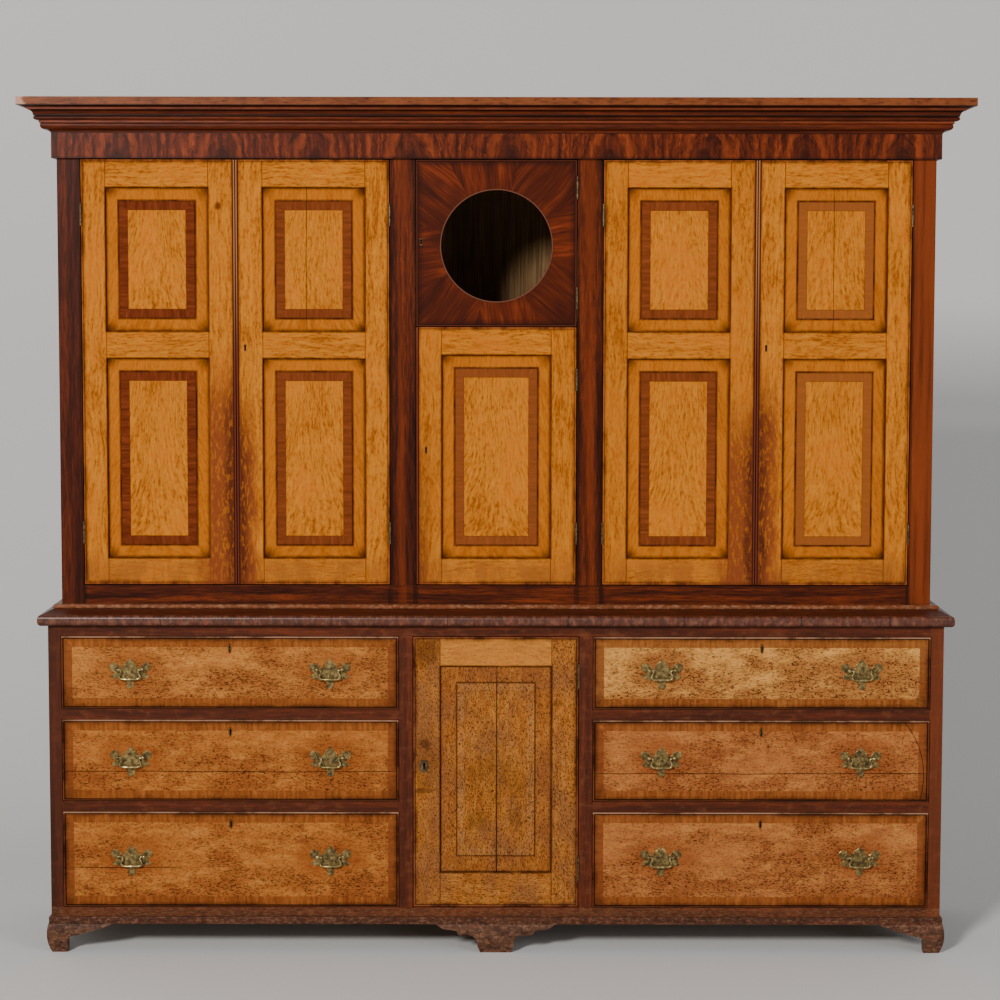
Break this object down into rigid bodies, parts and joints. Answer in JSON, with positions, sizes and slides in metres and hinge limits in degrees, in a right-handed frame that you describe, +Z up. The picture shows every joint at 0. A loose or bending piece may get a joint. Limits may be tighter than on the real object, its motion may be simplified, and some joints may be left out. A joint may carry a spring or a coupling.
{
  "type": "housekeepers cupboard",
  "caption": "Wide two-part cupboard: panelled doors beside a clock door with a round opening above, drawers beside a panelled door below, moulded cornice and bracket feet.",
  "frame": {"origin": "on the floor, in the middle of the overall width and depth", "axes": "+X to the right as seen from the front, -Y out of the front, +Z up"},
  "size_m": [2.343, 0.563, 2.134],
  "materials": {
    "mahogany": "waxed mahogany",
    "oak": "waxed oak",
    "pine": "bare softwood",
    "brass": "dull old brass"
  },
  "bodies": {
    "case": {"cornice_moulding": "mahogany", "frieze_boards": "mahogany", "upper_case_sides": "mahogany", "upper_top_and_bottom": "pine", "upper_partitions": "pine", "upper_face_frame": "mahogany", "shelves": "pine", "back_boards": "pine", "waist_moulding": "mahogany", "upper_foot_moulding": "mahogany", "base_case_boards": "pine", "base_face_frame": "mahogany", "drawer_runners": "pine", "base_moulding": "mahogany", "bracket_feet": "mahogany", "case_hinge_halves": "brass", "hinge_pins": "brass"},
    "door_1": {"door_1_frame": "oak", "door_1_panels": "oak", "door_1_hinges": "brass"},
    "door_2": {"door_2_frame": "oak", "door_2_panels": "oak", "door_2_hinges": "brass"},
    "door_3": {"door_3_frame": "oak", "door_3_panels": "oak", "door_3_hinges": "brass"},
    "door_4": {"door_4_frame": "oak", "door_4_panels": "oak", "door_4_hinges": "brass"},
    "clock_door": {"clock_door_board": "mahogany", "clock_door_brasses": "brass"},
    "middle_door": {"middle_door_frame": "oak", "middle_door_panel": "oak", "middle_door_brasses": "brass"},
    "base_door": {"base_door": "oak", "base_door_brasses": "brass"},
    "drawer_1": {"drawer_1_box": "oak", "drawer_1_brasses": "brass"},
    "drawer_2": {"drawer_2_box": "oak", "drawer_2_brasses": "brass"},
    "drawer_3": {"drawer_3_box": "oak", "drawer_3_brasses": "brass"},
    "drawer_4": {"drawer_4_box": "oak", "drawer_4_brasses": "brass"},
    "drawer_5": {"drawer_5_box": "oak", "drawer_5_brasses": "brass"},
    "drawer_6": {"drawer_6_box": "oak", "drawer_6_brasses": "brass"},
    "bail_1_left": {"bail_1_left": "brass"},
    "bail_1_right": {"bail_1_right": "brass"},
    "bail_2_left": {"bail_2_left": "brass"},
    "bail_2_right": {"bail_2_right": "brass"},
    "bail_3_left": {"bail_3_left": "brass"},
    "bail_3_right": {"bail_3_right": "brass"},
    "bail_4_left": {"bail_4_left": "brass"},
    "bail_4_right": {"bail_4_right": "brass"},
    "bail_5_left": {"bail_5_left": "brass"},
    "bail_5_right": {"bail_5_right": "brass"},
    "bail_6_left": {"bail_6_left": "brass"},
    "bail_6_right": {"bail_6_right": "brass"}
  },
  "joints": [
    {"name": "door_1_hinge", "type": "hinge", "parent": "case", "child": "door_1", "pos_m": [-1.03, -0.1993, 1.4587], "axis": [0, 0, -1], "range_deg": [0, 170]},
    {"name": "door_2_hinge", "type": "hinge", "parent": "case", "child": "door_2", "pos_m": [-0.265, -0.1993, 1.4587], "axis": [0, 0, 1], "range_deg": [0, 170]},
    {"name": "door_3_hinge", "type": "hinge", "parent": "case", "child": "door_3", "pos_m": [0.265, -0.1993, 1.4587], "axis": [0, 0, -1], "range_deg": [0, 90]},
    {"name": "door_4_hinge", "type": "hinge", "parent": "case", "child": "door_4", "pos_m": [1.03, -0.1993, 1.4587], "axis": [0, 0, 1], "range_deg": [0, 170]},
    {"name": "clock_door_hinge", "type": "hinge", "parent": "case", "child": "clock_door", "pos_m": [0.2, -0.1993, 1.7814], "axis": [0, 0, 1], "range_deg": [0, 90]},
    {"name": "middle_door_hinge", "type": "hinge", "parent": "case", "child": "middle_door", "pos_m": [0.2, -0.1993, 1.2515], "axis": [0, 0, 1], "range_deg": [0, 90]},
    {"name": "base_door_hinge", "type": "hinge", "parent": "case", "child": "base_door", "pos_m": [0.2075, -0.2303, 0.46], "axis": [0, 0, 1], "range_deg": [0, 90]},
    {"name": "drawer_1_slide", "type": "slide", "parent": "case", "child": "drawer_1", "axis": [0, -1, 0], "range_m": [0, 0.36]},
    {"name": "drawer_2_slide", "type": "slide", "parent": "case", "child": "drawer_2", "axis": [0, -1, 0], "range_m": [0, 0.36]},
    {"name": "drawer_3_slide", "type": "slide", "parent": "case", "child": "drawer_3", "axis": [0, -1, 0], "range_m": [0, 0.36]},
    {"name": "drawer_4_slide", "type": "slide", "parent": "case", "child": "drawer_4", "axis": [0, -1, 0], "range_m": [0, 0.36]},
    {"name": "drawer_5_slide", "type": "slide", "parent": "case", "child": "drawer_5", "axis": [0, -1, 0], "range_m": [0, 0.36]},
    {"name": "drawer_6_slide", "type": "slide", "parent": "case", "child": "drawer_6", "axis": [0, -1, 0], "range_m": [0, 0.36]},
    {"name": "bail_1_left_swing", "type": "hinge", "parent": "drawer_1", "child": "bail_1_left", "pos_m": [-0.9145, -0.2415, 0.72025], "axis": [-1, 0, 0], "range_deg": [0, 100]},
    {"name": "bail_1_right_swing", "type": "hinge", "parent": "drawer_1", "child": "bail_1_right", "pos_m": [-0.415, -0.2415, 0.72025], "axis": [-1, 0, 0], "range_deg": [0, 100]},
    {"name": "bail_2_left_swing", "type": "hinge", "parent": "drawer_2", "child": "bail_2_left", "pos_m": [-0.9145, -0.2415, 0.49825], "axis": [-1, 0, 0], "range_deg": [0, 100]},
    {"name": "bail_2_right_swing", "type": "hinge", "parent": "drawer_2", "child": "bail_2_right", "pos_m": [-0.415, -0.2415, 0.49825], "axis": [-1, 0, 0], "range_deg": [0, 100]},
    {"name": "bail_3_left_swing", "type": "hinge", "parent": "drawer_3", "child": "bail_3_left", "pos_m": [-0.9145, -0.2415, 0.2465], "axis": [-1, 0, 0], "range_deg": [0, 100]},
    {"name": "bail_3_right_swing", "type": "hinge", "parent": "drawer_3", "child": "bail_3_right", "pos_m": [-0.415, -0.2415, 0.2465], "axis": [-1, 0, 0], "range_deg": [0, 100]},
    {"name": "bail_4_left_swing", "type": "hinge", "parent": "drawer_4", "child": "bail_4_left", "pos_m": [0.415, -0.2415, 0.72025], "axis": [-1, 0, 0], "range_deg": [0, 100]},
    {"name": "bail_4_right_swing", "type": "hinge", "parent": "drawer_4", "child": "bail_4_right", "pos_m": [0.9145, -0.2415, 0.72025], "axis": [-1, 0, 0], "range_deg": [0, 100]},
    {"name": "bail_5_left_swing", "type": "hinge", "parent": "drawer_5", "child": "bail_5_left", "pos_m": [0.415, -0.2415, 0.49825], "axis": [-1, 0, 0], "range_deg": [0, 100]},
    {"name": "bail_5_right_swing", "type": "hinge", "parent": "drawer_5", "child": "bail_5_right", "pos_m": [0.9145, -0.2415, 0.49825], "axis": [-1, 0, 0], "range_deg": [0, 100]},
    {"name": "bail_6_left_swing", "type": "hinge", "parent": "drawer_6", "child": "bail_6_left", "pos_m": [0.415, -0.2415, 0.2465], "axis": [-1, 0, 0], "range_deg": [0, 100]},
    {"name": "bail_6_right_swing", "type": "hinge", "parent": "drawer_6", "child": "bail_6_right", "pos_m": [0.9145, -0.2415, 0.2465], "axis": [-1, 0, 0], "range_deg": [0, 100]}
  ]
}
